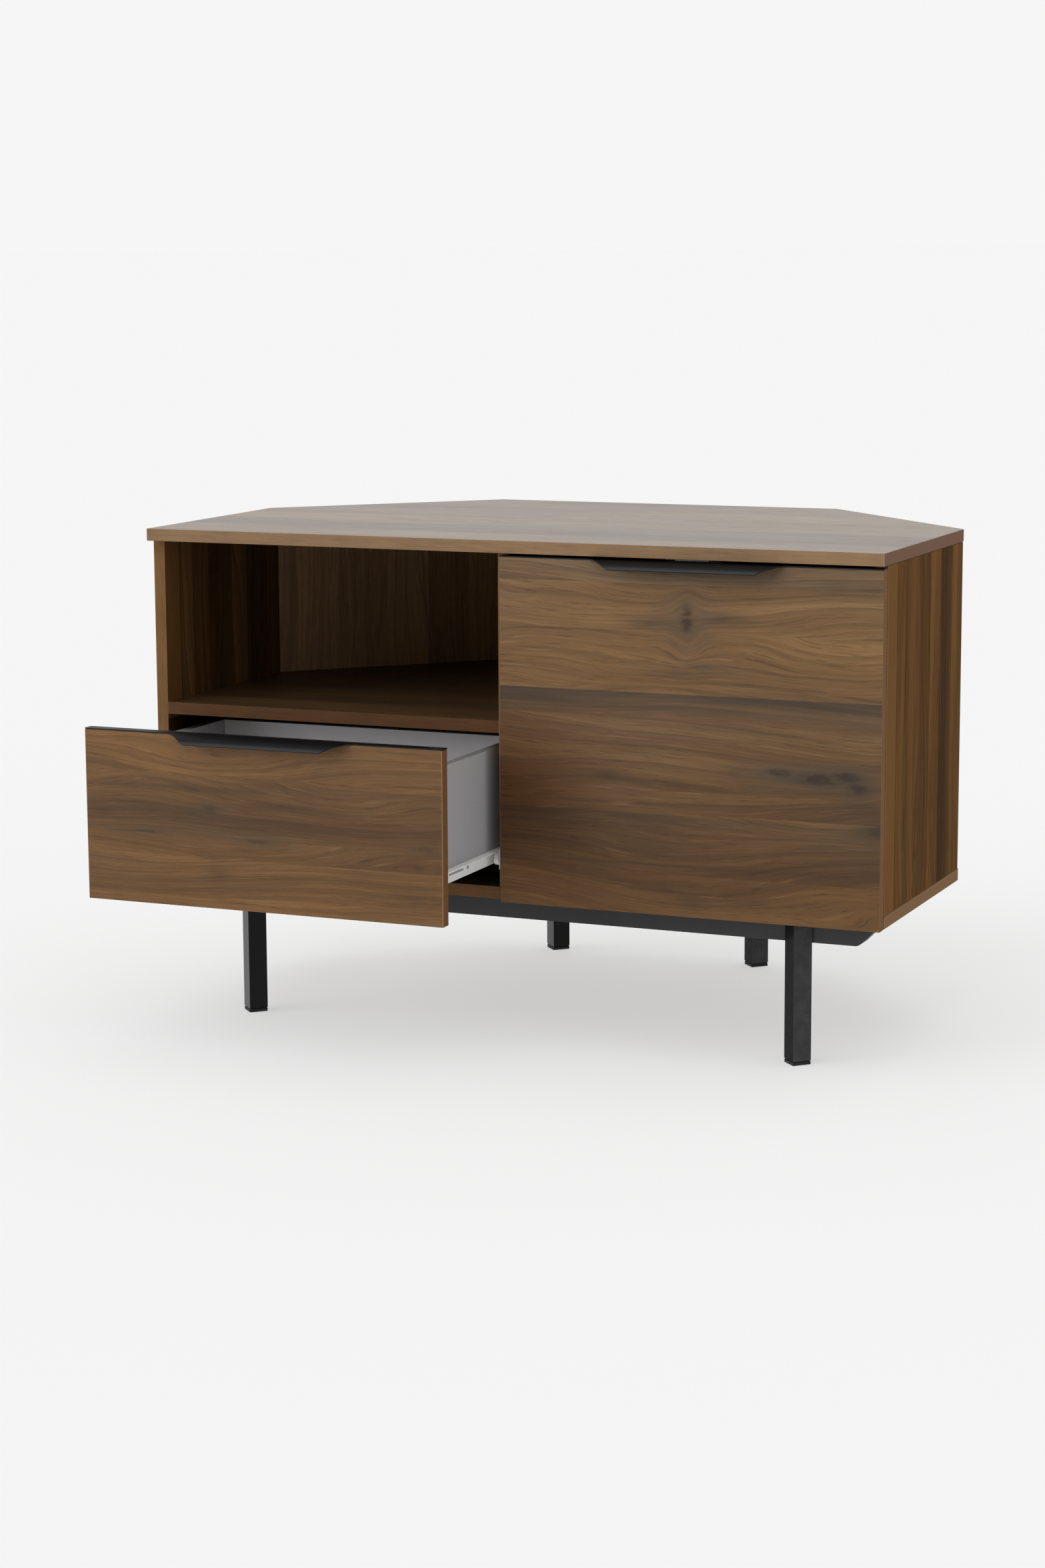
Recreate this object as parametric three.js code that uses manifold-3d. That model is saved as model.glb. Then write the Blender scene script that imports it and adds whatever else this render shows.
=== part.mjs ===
// Corner media cabinet: a hexagonal carcass of 16 mm boards on four square
// tube legs, with an open shelf, a drawer on roller slides and a drop-down flap.
// Millimetres, +Z up, +X to the right seen from the front, front towards -Y.
import * as THREE from 'three';
import * as BufferGeometryUtils from 'three/addons/utils/BufferGeometryUtils.js';
import Module from 'manifold-3d';

const wasm = await Module();
wasm.setup();

// ---- driving dimensions ---------------------------------------------------
const W = 1000;            // overall width
const D = 598;             // depth of the top board
const SIDE_D = 350;        // depth of the straight sides
const BACK_W = 504;        // width of the back edge (45 degree corners)
const H = 645;             // overall height
const T = 16;              // board thickness
const HB = 186;            // underside of the bottom board
const GAP = 0.3;           // gap kept between touching boards
const RECESS = 18;         // front edge of the carcass behind the top's front edge
const BACK_INSET = 3;      // carcass sides stop this far short of the top's corner

const DRAWER_OPEN = 170;   // how far the drawer stands open as stored
const FRONT_TOP = 404.6;   // top of the drawer front board
const DOOR_TOP = 624.4;    // top of the flap board
const SHELF_Z = 399.3;     // underside of the fixed shelf

const STRIP_T = 1.5;       // pull strip thickness
const PULL_HALF = 128.5;   // half length of the pull tab at its root
const PULL_TIP = 95;       // half length of the pull tab at its front edge
const PULL_OUT = 26;       // how far the pull tab stands out

const LEG = 25;            // square leg tube
const LEG_WALL = 2;
const LEG_FX = 380, LEG_FY = 53;
const LEG_RX = 151.5, LEG_RY = 558;
const CAP_H = 4.2;         // visible height of the foot caps
const RAIL_Z = 154;        // underside of the rails
const RAIL_D = 28;         // rail depth

const BOX_L = -471.5, BOX_R = -20.5;   // drawer box outer sides
const BOX_T = 12;                      // drawer box board thickness
const BOX_Z0 = 231.7, BOX_Z1 = 378;    // drawer box bottom and top
const BOX_LEN = 292;                   // drawer box depth
const ROLL_F = { y: 29, z: 237, r: 9 };      // rollers on the cabinet members
const ROLL_R = { y: 298, z: 233.9, r: 8.4 }; // rollers on the drawer members

const HINGE_Y = 5, HINGE_Z = 191;      // flap pivot
const HINGE_X = [86, 415];             // the two flap hinges
const STAY_A = 160;                    // stay pivots' radius about the flap pivot
const STAY_P = { y: 28 };              // stay pivot on the flap
const STAY_QA = 55;                    // angle of the stay block about the flap pivot
const STAY_X = [19.5, 472.5];          // planes of the two stay arms

// ---- colours --------------------------------------------------------------
const mat = (color, roughness, metalness) =>
  new THREE.MeshStandardMaterial({ color, roughness, metalness });
const walnut = () => mat(0x84694e, 0.55, 0);
const walnutDark = () => mat(0x5f4630, 0.6, 0);
const black = () => mat(0x2c2c2c, 0.45, 0.6);
const blackPlastic = () => mat(0x1c1c1c, 0.6, 0);
const greyFoil = () => mat(0x9a9a9a, 0.5, 0);
const whiteSteel = () => mat(0xc8c8c8, 0.4, 0.2);
const whitePlastic = () => mat(0xe6e6e6, 0.45, 0);
const nickel = () => mat(0xb0b0ad, 0.3, 0.9);

// ---- shape helpers --------------------------------------------------------
function box(x0, x1, y0, y1, z0, z1) {
  return new THREE.BoxGeometry(x1 - x0, y1 - y0, z1 - z0)
    .translate((x0 + x1) / 2, (y0 + y1) / 2, (z0 + z1) / 2);
}
// plan outline (x, y) raised from z0 to z1
function plan(points, z0, z1, holes = []) {
  const shape = new THREE.Shape(points.map(([x, y]) => new THREE.Vector2(x, y)));
  for (const h of holes) shape.holes.push(new THREE.Path(h.map(([x, y]) => new THREE.Vector2(x, y))));
  return new THREE.ExtrudeGeometry(shape, { depth: z1 - z0, bevelEnabled: false }).translate(0, 0, z0);
}
// front outline (x, z) run from y0 to y1
function front(points, y0, y1, holes = []) {
  const g = plan(points, 0, y1 - y0, holes);
  g.rotateX(Math.PI / 2);              // (x, y, z) -> (x, -z, y)
  return g.translate(0, y1, 0);
}
// side outline (y, z) run from x0 to x1
function profile(points, x0, x1, holes = []) {
  const g = plan(points, 0, x1 - x0, holes);
  g.applyMatrix4(new THREE.Matrix4().makeBasis(
    new THREE.Vector3(0, 1, 0), new THREE.Vector3(0, 0, 1), new THREE.Vector3(1, 0, 0)));
  return g.translate(x0, 0, 0);
}
function rod(axis, r, a0, a1, u, v, seg = 24) {
  const g = new THREE.CylinderGeometry(r, r, a1 - a0, seg);
  if (axis === 'x') return g.rotateZ(-Math.PI / 2).translate((a0 + a1) / 2, u, v);
  if (axis === 'y') return g.translate(u, (a0 + a1) / 2, v);
  return g.rotateX(Math.PI / 2).translate(u, v, (a0 + a1) / 2);
}
const ring = (r, n, u, v, start = 0) => Array.from({ length: n }, (_, i) => {
  const a = start + 2 * Math.PI * i / n;
  return [u + r * Math.cos(a), v + r * Math.sin(a)];
});
const diamond = (half, u, v) => [[u + half, v], [u, v + half], [u - half, v], [u, v - half]];

function solid(g) {
  const c = g.clone();
  for (const k of Object.keys(c.attributes)) if (k !== 'position') c.deleteAttribute(k);
  const m = BufferGeometryUtils.mergeVertices(c, 1e-4);
  return new wasm.Manifold(new wasm.Mesh({
    numProp: 3,
    vertProperties: new Float32Array(m.attributes.position.array),
    triVerts: new Uint32Array(m.index.array),
  }));
}
function geometry(man) {
  const mesh = man.getMesh();
  const g = new THREE.BufferGeometry();
  g.setAttribute('position', new THREE.BufferAttribute(new Float32Array(mesh.vertProperties), 3));
  g.setIndex(new THREE.BufferAttribute(new Uint32Array(mesh.triVerts), 1));
  g.computeVertexNormals();
  return g;
}
const join = (...gs) => geometry(gs.map(solid).reduce((a, b) => a.add(b)));
const cut = (g, ...tools) => geometry(tools.reduce((a, b) => a.subtract(solid(b)), solid(g)));
const common = (a, b) => geometry(solid(a).intersect(solid(b)));

const cabinet = new THREE.Group();
const carcass = new THREE.Group();
const drawer = new THREE.Group();
const flap = new THREE.Group();
cabinet.add(carcass, drawer, flap);
function part(group, name, g, material) {
  const m = new THREE.Mesh(g, material);
  m.name = name;
  group.add(m);
  return m;
}

// ---- carcass --------------------------------------------------------------
const hx = W / 2, bx = BACK_W / 2;
const hexagon = (y0) => [[-hx, y0], [hx, y0], [hx, SIDE_D], [bx, D], [-bx, D], [-hx, SIDE_D]];
const Z0 = HB + T + GAP, Z1 = H - T - GAP;          // between bottom and top boards

part(carcass, 'top_panel', plan(hexagon(0), H - T, H), walnut());

const legAt = [[-LEG_FX, LEG_FY], [LEG_FX, LEG_FY], [-LEG_RX, LEG_RY], [LEG_RX, LEG_RY]];
part(carcass, 'bottom_panel',
  cut(plan(hexagon(RECESS), HB, HB + T),
    ...legAt.map(([x, y]) => rod('z', 4.4, HB - 1, HB + 12.4, x, y, 20))), walnutDark());

// back corners: outer and inner mitre points, and the mitre gap
const yo = SIDE_D - BACK_INSET;                     // side meets diagonal, outside
const sum = hx + yo;                                // x + y along the diagonal, outside
const yb = D - 2;                                   // outer face of the centre back
const xo = sum - yb;                                // diagonal meets centre, outside
const sumI = sum - T * Math.SQRT2;
const xi = hx - T, yi = sumI - xi;                  // inside corner, side and diagonal
const ybi = yb - T, xbi = sumI - ybi;               // inside corner, diagonal and centre
const dg = GAP / Math.SQRT2;

const sidePts = [[xi, RECESS], [hx, RECESS], [hx, yo - 0.2], [xi, yi - 0.2]];
const diagPts = [[xi - dg, yi + dg], [hx - dg, yo + dg], [xo + dg, yb - dg], [xbi + dg, ybi - dg]];
const centrePts = [[-xbi + 0.2, ybi], [xbi - 0.2, ybi], [xo - 0.2, yb], [-xo + 0.2, yb]];
const mirror = (pts) => pts.map(([x, y]) => [-x, y]).reverse();

const PA = Math.atan2(Math.sqrt(STAY_A ** 2 - (STAY_P.y - HINGE_Y) ** 2), STAY_P.y - HINGE_Y);
const P = [HINGE_Y + STAY_A * Math.cos(PA), HINGE_Z + STAY_A * Math.sin(PA)];
const QB = STAY_QA * Math.PI / 180;
const Q = [HINGE_Y + STAY_A * Math.cos(QB), HINGE_Z + STAY_A * Math.sin(QB)];

part(carcass, 'left_side_panel', plan(mirror(sidePts), Z0, Z1), walnut());
part(carcass, 'right_side_panel',
  cut(plan(sidePts, Z0, Z1), rod('x', 4.2, xi - 1, xi + 8.5, Q[0], Q[1], 20)), walnut());
part(carcass, 'divider_panel',
  cut(box(-T / 2, T / 2, RECESS, ybi - GAP, Z0, Z1), rod('x', 4.2, T / 2 - 8.5, T / 2 + 1, Q[0], Q[1], 20)), walnut());
part(carcass, 'fixed_shelf', plan([
  [-xi + GAP, RECESS], [-T / 2 - GAP, RECESS], [-T / 2 - GAP, ybi - GAP],
  [-(sumI - 0.45 - ybi + GAP), ybi - GAP], [-xi + GAP, sumI - 0.45 - xi + GAP]],
  SHELF_Z, SHELF_Z + T), walnut());
part(carcass, 'back_panel_right', plan(diagPts, Z0, Z1), walnutDark());
part(carcass, 'back_panel_left', plan(mirror(diagPts), Z0, Z1), walnutDark());
part(carcass, 'back_panel_centre',
  cut(plan(centrePts, Z0, Z1),
    rod('y', 30, ybi - 5, yb + 5, -118, 470, 40), rod('y', 30, ybi - 5, yb + 5, 118, 260, 40)), walnutDark());

// ---- base: rails, legs, foot caps, leg bolts ------------------------------
const halfLeg = LEG / Math.SQRT2;
function rail(half, y0, y1, legs) {
  const zt = HB - GAP, z0 = RAIL_Z;
  const e = half - (zt - z0);
  const g = front([[-e + 3, z0], [e - 3, z0], [e, z0 + 1], [e + 3, z0 + 3], [half, zt], [-half, zt], [-e - 3, z0 + 3], [-e, z0 + 1]], y0, y1);
  return cut(g, ...legs.map(([x, y]) => plan(diamond(halfLeg + GAP * Math.SQRT2, x, y), z0 - 5, zt + 5)));
}
part(carcass, 'front_rail', rail(488, 56, 56 + RAIL_D, legAt.slice(0, 2)), black());
part(carcass, 'rear_rail', rail(238, 555 - RAIL_D, 555, legAt.slice(2)), black());

const legNames = ['front_left', 'front_right', 'rear_left', 'rear_right'];
legAt.forEach(([x, y], i) => {
  const inner = halfLeg - LEG_WALL * Math.SQRT2;
  const tube = plan(diamond(halfLeg, x, y), CAP_H + GAP, HB - GAP);
  const bore = plan(diamond(inner, x, y), CAP_H - 5, HB - GAP - 3);
  part(carcass, 'leg_' + legNames[i], cut(tube, bore, rod('z', 4.4, HB - 10, HB + 2, x, y, 20)), black());
  part(carcass, 'foot_cap_' + legNames[i], join(
    plan(diamond(halfLeg, x, y), 0, CAP_H),
    plan(diamond(inner - GAP * Math.SQRT2, x, y), CAP_H - 1, CAP_H + 16)), blackPlastic());
  part(carcass, 'leg_bolt_' + legNames[i], join(
    rod('z', 4, HB - 7, HB + 12, x, y, 20),
    plan(ring(6.4, 6, x, y), HB - GAP - 3 - 5.6, HB - GAP - 3.3)), nickel());
});

// ---- drawer ---------------------------------------------------------------
// pull strip: a cap along the top edge whose middle bends out into a tab
function pull(x0, x1, zTop) {
  const c = (x0 + x1) / 2, t = STRIP_T;
  const cap = box(x0, x1, 0, T, zTop + GAP, zTop + GAP + t);
  const z = zTop + GAP + t;
  const upper = [[0.5, 0], [-4, -0.5], [-10, -2.3], [-16, -4.8], [-21, -6.7], [-24.5, -7.1], [-PULL_OUT, -8.2]];
  const lower = [[-PULL_OUT + 0.3, -9.6], [-24, -8.9], [-20.6, -8.3], [-15.4, -6.4], [-9.4, -3.9], [-3.8, -2.0], [0.5, -t]];
  const section = [...upper, ...lower].map(([y, dz]) => [y, z + dz]).reverse();
  const tab = common(profile(section, c - PULL_HALF, c + PULL_HALF),
    plan([[c - PULL_HALF, 1], [c - PULL_HALF, 0], [c - PULL_TIP - 3, -PULL_OUT + 2.5], [c - PULL_TIP, -PULL_OUT - 1],
      [c + PULL_TIP, -PULL_OUT - 1], [c + PULL_TIP + 3, -PULL_OUT + 2.5], [c + PULL_HALF, 0], [c + PULL_HALF, 1]], z - 30, z + 5));
  return join(cap, tab);
}

const FL = -hx + 0.5, FR = -1.5;
part(drawer, 'drawer_front', box(FL, FR, 0, T, HB, FRONT_TOP), walnut());
part(drawer, 'drawer_handle', pull(FL, FR, FRONT_TOP), black());
const by0 = T + GAP, by1 = T + GAP + BOX_LEN;
const groove = (x0, x1) => box(x0, x1, by0 - 1, by1 + 1, 240, 244.6);
part(drawer, 'drawer_side_left', cut(box(BOX_L, BOX_L + BOX_T, by0, by1, BOX_Z0, BOX_Z1),
  groove(BOX_L + BOX_T - 6, BOX_L + BOX_T + 1)), greyFoil());
part(drawer, 'drawer_side_right', cut(box(BOX_R - BOX_T, BOX_R, by0, by1, BOX_Z0, BOX_Z1),
  groove(BOX_R - BOX_T - 1, BOX_R - BOX_T + 6)), greyFoil());
part(drawer, 'drawer_bottom', box(BOX_L + BOX_T - 5.5, BOX_R - BOX_T + 5.5, by0 + 0.2, by1, 240.3, 244.3), greyFoil());
part(drawer, 'drawer_back', box(BOX_L + BOX_T + GAP, BOX_R - BOX_T - GAP, by1 - BOX_T, by1, 244.7, BOX_Z1), greyFoil());

// ---- roller slides --------------------------------------------------------
// Written for the right side of the drawer; s = -1 mirrors it to the left side.
const bc = (BOX_L + BOX_R) / 2;
for (const [side, s] of [['left', -1], ['right', 1]]) {
  const X = (x) => s > 0 ? x : 2 * bc - x;
  const bx2 = (a, b, ...r) => box(Math.min(X(a), X(b)), Math.max(X(a), X(b)), ...r);
  const rodx = (r, a, b, y, z, n) => rod('x', r, Math.min(X(a), X(b)), Math.max(X(a), X(b)), y, z, n);
  const wall = -T / 2 - GAP, face = BOX_R + GAP;    // cabinet wall and drawer side
  // fixed member: web, lower and upper flanges, roller pin at the front
  part(carcass, 'slide_fixed_' + side, cut(join(
    bx2(wall, wall - 1.2, 20, 316, 224, 251),
    bx2(wall - 0.6, wall - 10, 44, 316, 224, 225.2),
    bx2(wall - 0.6, wall - 10, 44, 316, 249.8, 251),
    rodx(2.4, wall - 0.6, -18.6, ROLL_F.y, ROLL_F.z, 16)),
    rodx(2.2, wall + 1, wall - 3, 62, 237.5, 12), rodx(2.2, wall + 1, wall - 3, 190, 237.5, 12)), whiteSteel());
  part(carcass, 'slide_roller_front_' + side, cut(rodx(ROLL_F.r, -11, -17.6, ROLL_F.y, ROLL_F.z, 32),
    rodx(2.6, -10, -19, ROLL_F.y, ROLL_F.z, 16)), whitePlastic());
  // drawer member: web on the drawer side, foot flange under it, top flange over the roller
  part(drawer, 'slide_drawer_' + side, cut(join(
    bx2(face, face + 1.2, by0 + 2, by1 + 4, 230.2, 247.8),
    bx2(face + 0.6, -32, by0 + 2, by1 - 4, 230.2, 231.4),
    bx2(face + 0.6, -10.2, by0 + 2, by1 - 24, 246.6, 247.8),
    rodx(2.2, face + 0.6, -10.2, ROLL_R.y, ROLL_R.z, 16)),
    bx2(face - 1, face + 3, by0 + 40, by0 + 84, 238.6, 241.6),
    rodx(1.8, face - 1, face + 3, by0 + 96, 240.1, 12)), whiteSteel());
  part(drawer, 'slide_roller_rear_' + side, cut(rodx(ROLL_R.r, -11.4, -17.8, ROLL_R.y, ROLL_R.z, 32),
    rodx(2.4, -10, -19, ROLL_R.y, ROLL_R.z, 16)), whitePlastic());
}
drawer.position.y = -DRAWER_OPEN;

// ---- flap -----------------------------------------------------------------
const DL = 1.5, DR = hx - 0.5;
let door = box(DL, DR, 0, T, HB, DOOR_TOP);
const CUP_Z = 208.5;
const pockets = [];
for (const x of HINGE_X) {
  pockets.push(rod('y', 17.8, 4.2, T + 1, x, CUP_Z, 40));
  pockets.push(box(x - 7.6, x + 7.6, 1.5, T + 1, HB - 1, 205));
}
part(flap, 'door_panel', cut(door, ...pockets), walnut());
part(flap, 'door_handle', pull(DL, DR, DOOR_TOP), black());

for (const [i, side] of [[0, 'left'], [1, 'right']]) {
  const x = HINGE_X[i];
  // cup: flange on the inner face, round shell in the bore, cheeks and pin
  const shell = cut(
    join(rod('y', 17.4, 4.6, T + 1, x, CUP_Z, 40),
      front([[x - 26, CUP_Z - 9], [x - 17, CUP_Z - 17.4], [x + 17, CUP_Z - 17.4], [x + 26, CUP_Z - 9], [x + 26, CUP_Z + 5], [x + 14, CUP_Z + 19], [x - 14, CUP_Z + 19], [x - 26, CUP_Z + 5]], T + GAP, T + GAP + 1)),
    rod('y', 16.2, 5.8, T + 5, x, CUP_Z, 40),
    box(x - 7.2, x + 7.2, 0, T + 5, HB, CUP_Z - 4),
    rod('y', 2.1, T - 3, T + 5, x - 21.5, CUP_Z - 2, 12), rod('y', 2.1, T - 3, T + 5, x + 21.5, CUP_Z - 2, 12));
  const cheek = (a, b) => profile([[2.4, 188.4], [8, 188.4], [15.8, 192], [15.8, 204.4], [6, 204.4], [2.4, 194]], a, b);
  part(flap, 'hinge_cup_' + side, join(shell, cheek(x - 7.25, x - 5.4), cheek(x + 5.4, x + 7.25),
    rod('x', 1.6, x - 6, x + 6, HINGE_Y, HINGE_Z, 16)), nickel());
  // arm: eye round the pin, cranked neck into the cabinet, foot on the bottom board
  const eye = profile(ring(3.1, 20, HINGE_Y, HINGE_Z), x - 4.6, x + 4.6);
  const neck = profile([[HINGE_Y + 1.5, HINGE_Z - 0.4], [HINGE_Y + 3, HINGE_Z + 1], [12.2, 201.5], [15.5, 205.2],
    [24, 205.2], [24, 202.4], [70, 202.4], [70, 206], [30, 210], [14, 209.4], [8.4, 204.6], [HINGE_Y - 2.2, HINGE_Z + 1.6]], x - 4.6, x + 4.6);
  part(carcass, 'hinge_arm_' + side, cut(join(eye, neck, box(x - 12, x + 12, 34, 66, 202.4, 204.4)),
    rod('x', 1.8, x - 6, x + 6, HINGE_Y, HINGE_Z, 16),
    rod('z', 2.1, 200, 215, x - 8.6, 50, 12), rod('z', 2.1, 200, 215, x + 8.6, 50, 12)), nickel());
}

// ---- flap stays -----------------------------------------------------------
const LEN = 2 * STAY_A * Math.sin((PA - QB + Math.PI / 2) / 2);   // pivot to block, flap open
const dir = new THREE.Vector2(Q[0] - P[0], Q[1] - P[1]).normalize();
const along = (l, n) => [P[0] + dir.x * l - dir.y * n, P[1] + dir.y * l + dir.x * n];
const NOW = Math.hypot(Q[0] - P[0], Q[1] - P[1]);
for (const [i, side, s] of [[0, 'left', 1], [1, 'right', -1]]) {
  const x = STAY_X[i];
  const span = (a, b) => [Math.min(x + s * a, x + s * b), Math.max(x + s * a, x + s * b)];
  const wall = i === 0 ? T / 2 : xi;               // face that the block's stud turns in
  // bracket on the flap: foot, ear and pin
  const [e0, e1] = span(3, 5.5);
  const [p0, p1] = span(-1.8, 4);
  const foot = span(3, 20);
  part(flap, 'stay_bracket_' + side, cut(join(
    box(foot[0], foot[1], T + GAP, T + GAP + 2, P[1] - 16, P[1] + 16),
    profile([[T + GAP + 0.5, P[1] - 11], [P[0] + 3, P[1] - 5], [P[0] + 5.5, P[1]], [P[0] + 3, P[1] + 5], [T + GAP + 0.5, P[1] + 11]], e0, e1),
    rod('x', 2, p0, p1, P[0], P[1], 16)),
    rod('y', 2, T - 2, T + 6, x + s * 13, P[1] - 9, 12), rod('y', 2, T - 2, T + 6, x + s * 13, P[1] + 9, 12)), nickel());
  // arm: flat bar with an eye at the flap end and a stop at the free end
  const [a0, a1] = span(-1.3, 1.3);
  const [b0, b1] = span(-2.6, 2.6);
  part(flap, 'stay_arm_' + side, cut(join(
    profile(ring(5.4, 20, P[0], P[1]), a0, a1),
    profile([along(2, -4), along(LEN + 14.5, -4), along(LEN + 14.5, 4), along(2, 4)], a0, a1),
    profile([along(LEN + 10.6, -5.6), along(LEN + 14.5, -5.6), along(LEN + 14.5, 5.6), along(LEN + 10.6, 5.6)], b0, b1)),
    rod('x', 2.2, x - 4, x + 4, P[0], P[1], 16)), nickel());
  // swivel block: body with a slot for the arm and a stud in the wall
  const [c0, c1] = span(-5, 5);
  const gapSlot = span(-1.7, 1.7);
  const stud = s > 0 ? [wall - 8, x - 4] : [x + 4, wall + 8];
  part(carcass, 'stay_block_' + side, cut(join(
    profile([along(NOW - 9, -7.5), along(NOW + 9, -7.5), along(NOW + 9, 7.5), along(NOW - 9, 7.5)], c0, c1),
    rod('x', 4, stud[0], stud[1], Q[0], Q[1], 20),
    rod('x', 6.5, ...(s > 0 ? [wall + 0.4, x - 4] : [x + 4, wall - 0.4]), Q[0], Q[1], 20)),
    profile([along(NOW - 20, -4.4), along(NOW + 20, -4.4), along(NOW + 20, 4.4), along(NOW - 20, 4.4)], ...gapSlot)), blackPlastic());
}

// ---- magnetic catch -------------------------------------------------------
part(carcass, 'flap_catch', join(
  box(228, 272, 19.2, 32, Z1 - 13, Z1), box(214, 286, 22, 30, Z1 - 2.2, Z1)), whitePlastic());
part(flap, 'flap_catch_plate', box(236, 264, T + GAP, T + GAP + 1.5, Z1 - 14, Z1 - 5), nickel());

// ---- whole object: floor at z = 0, centre of its box over the origin -------
const yFront = -DRAWER_OPEN - PULL_OUT;
cabinet.position.y = -(yFront + D) / 2;
cabinet.updateMatrixWorld(true);
cabinet.name = 'corner_media_cabinet';

export default cabinet;
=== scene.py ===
"""Looks of the corner media cabinet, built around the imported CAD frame. Metres, floor at z = 0."""

import math

import bpy
import bmesh
from mathutils import Matrix, Vector


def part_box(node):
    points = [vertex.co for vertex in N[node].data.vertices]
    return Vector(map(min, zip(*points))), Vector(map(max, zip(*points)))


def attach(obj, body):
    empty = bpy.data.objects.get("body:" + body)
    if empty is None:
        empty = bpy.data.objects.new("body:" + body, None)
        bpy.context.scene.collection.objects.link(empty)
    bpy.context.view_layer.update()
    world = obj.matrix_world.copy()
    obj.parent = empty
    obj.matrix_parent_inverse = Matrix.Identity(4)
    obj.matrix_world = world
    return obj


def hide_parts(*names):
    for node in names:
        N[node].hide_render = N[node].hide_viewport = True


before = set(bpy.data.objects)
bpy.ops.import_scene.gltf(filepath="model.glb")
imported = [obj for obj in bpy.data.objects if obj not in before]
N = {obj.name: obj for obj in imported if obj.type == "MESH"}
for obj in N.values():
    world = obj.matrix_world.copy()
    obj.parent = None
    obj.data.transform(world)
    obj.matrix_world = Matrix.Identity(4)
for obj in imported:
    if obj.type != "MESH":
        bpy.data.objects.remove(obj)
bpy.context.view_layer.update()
scene = bpy.context.scene
YS = -0.201          # front plane of the closed fronts in the row frame
OPEN = 0.170         # how far the drawer stands open at rest

# ---------------------------------------------------------------- node helper
class Net:
    def __init__(self, name):
        self.mat = bpy.data.materials.new(name)
        self.mat.use_nodes = True
        self.t = self.mat.node_tree
        self.t.nodes.clear()
        self.out = self.new("ShaderNodeOutputMaterial")
        self.bsdf = self.new("ShaderNodeBsdfPrincipled")
        self.t.links.new(self.bsdf.outputs["BSDF"], self.out.inputs["Surface"])
        self._tc = None

    def new(self, kind, **props):
        n = self.t.nodes.new(kind)
        for k, v in props.items():
            setattr(n, k, v)
        return n

    def put(self, sock, val):
        if isinstance(val, bpy.types.NodeSocket):
            self.t.links.new(val, sock)
        elif isinstance(val, (tuple, list)) and len(val) == 3 and sock.type == "RGBA":
            sock.default_value = (*val, 1)
        else:
            sock.default_value = val

    def tc(self, which):
        if self._tc is None:
            self._tc = self.new("ShaderNodeTexCoord")
        return self._tc.outputs[which]

    def m(self, op, a, b=None, c=None, clamp=False):
        n = self.new("ShaderNodeMath", operation=op, use_clamp=clamp)
        self.put(n.inputs[0], a)
        if b is not None:
            self.put(n.inputs[1], b)
        if c is not None:
            self.put(n.inputs[2], c)
        return n.outputs[0]

    def xyz(self, vec):
        n = self.new("ShaderNodeSeparateXYZ")
        self.put(n.inputs[0], vec)
        return n.outputs[0], n.outputs[1], n.outputs[2]

    def vec(self, x, y, z):
        n = self.new("ShaderNodeCombineXYZ")
        for i, v in enumerate((x, y, z)):
            self.put(n.inputs[i], v)
        return n.outputs[0]

    def noise(self, vec, scale=1.0, detail=3.0, rough=0.5, dist=0.0):
        n = self.new("ShaderNodeTexNoise", noise_dimensions="3D")
        self.put(n.inputs["Vector"], vec)
        n.inputs["Scale"].default_value = scale
        n.inputs["Detail"].default_value = detail
        n.inputs["Roughness"].default_value = rough
        n.inputs["Distortion"].default_value = dist
        return n.outputs["Fac"]

    def mapr(self, v, a, b, c, d, smooth=False):
        n = self.new("ShaderNodeMapRange", interpolation_type="SMOOTHSTEP" if smooth else "LINEAR")
        self.put(n.inputs[0], v)
        for i, k in enumerate((a, b, c, d)):
            self.put(n.inputs[i + 1], k)
        return n.outputs[0]

    def ramp(self, fac, stops, mode="LINEAR"):
        n = self.new("ShaderNodeValToRGB")
        r = n.color_ramp
        r.interpolation = mode
        while len(r.elements) > 1:
            r.elements.remove(r.elements[-1])
        r.elements[0].position = stops[0][0]
        r.elements[0].color = (*stops[0][1], 1)
        for p, c in stops[1:]:
            e = r.elements.new(p)
            e.color = (*c, 1)
        self.put(n.inputs[0], fac)
        return n.outputs[0]

    def mix(self, fac, a, b, mode="MIX"):
        n = self.new("ShaderNodeMix", data_type="RGBA", blend_type=mode)
        self.put(n.inputs["Factor"], fac)
        self.put(n.inputs[6], a)
        self.put(n.inputs[7], b)
        return n.outputs[2]

    def bump(self, height, strength, dist, normal=None):
        n = self.new("ShaderNodeBump")
        n.inputs["Strength"].default_value = strength
        n.inputs["Distance"].default_value = dist
        self.put(n.inputs["Height"], height)
        if normal is not None:
            self.put(n.inputs["Normal"], normal)
        return n.outputs[0]

    def blob(self, u, v, u0, v0, a, b):
        """1 at (u0, v0), falling off smoothly over a along u and b along v."""
        du = self.m("DIVIDE", self.m("SUBTRACT", u, u0), a)
        dv = self.m("DIVIDE", self.m("SUBTRACT", v, v0), b)
        d = self.m("ADD", self.m("MULTIPLY", du, du), self.m("MULTIPLY", dv, dv))
        return self.m("POWER", 2.718, self.m("MULTIPLY", d, -1.0))


def srgb(r, g, b):
    f = lambda c: (c / 255 / 12.92) if c / 255 <= 0.04045 else ((c / 255 + 0.055) / 1.055) ** 2.4
    return f(r), f(g), f(b)


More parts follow.
